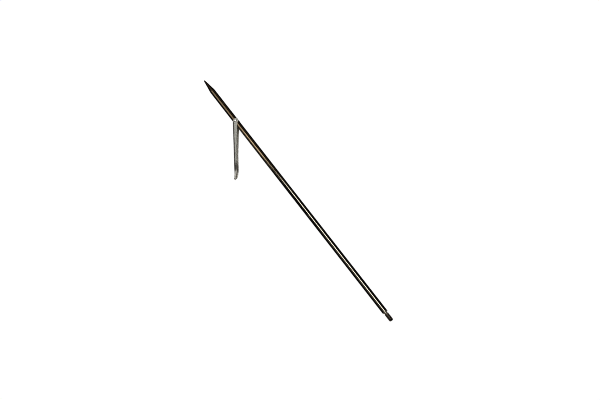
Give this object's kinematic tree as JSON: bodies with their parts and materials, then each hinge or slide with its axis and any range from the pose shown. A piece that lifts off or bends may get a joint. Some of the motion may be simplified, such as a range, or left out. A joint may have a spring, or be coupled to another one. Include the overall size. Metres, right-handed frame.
{
  "type": "threaded spear shaft with folding barb",
  "caption": "Round steel spear shaft with a pencil point, a pivoting folded-sheet barb behind it and a threaded stud that screws into a pole.",
  "frame": {"origin": "on the shaft's axis, in the plane of the shoulder that seats against the pole", "axes": "+X along the shaft from the point to the threaded stud, +Z along the barb's rivet, and the barb opens towards -Y"},
  "size_m": [0.5, 0.0608, 0.0116],
  "materials": {
    "shaft_steel": "warm grey, lightly bronze-tinted polished steel, darker at the ground point, with a black thread",
    "barb_steel": "bright stainless sheet, brushed along its length, lightly stained",
    "rivet_steel": "bright, peened"
  },
  "bodies": {
    "shaft_body": {"shaft": "shaft_steel", "pivot_rivet": "rivet_steel"},
    "barb_body": {"barb": "barb_steel"}
  },
  "joints": [
    {"name": "barb_pivot", "type": "hinge", "parent": "shaft_body", "child": "barb_body", "pos_m": [-0.3915, 0, 0], "axis": [0, 0, -1], "range_deg": [-32.8, 13.2]}
  ]
}
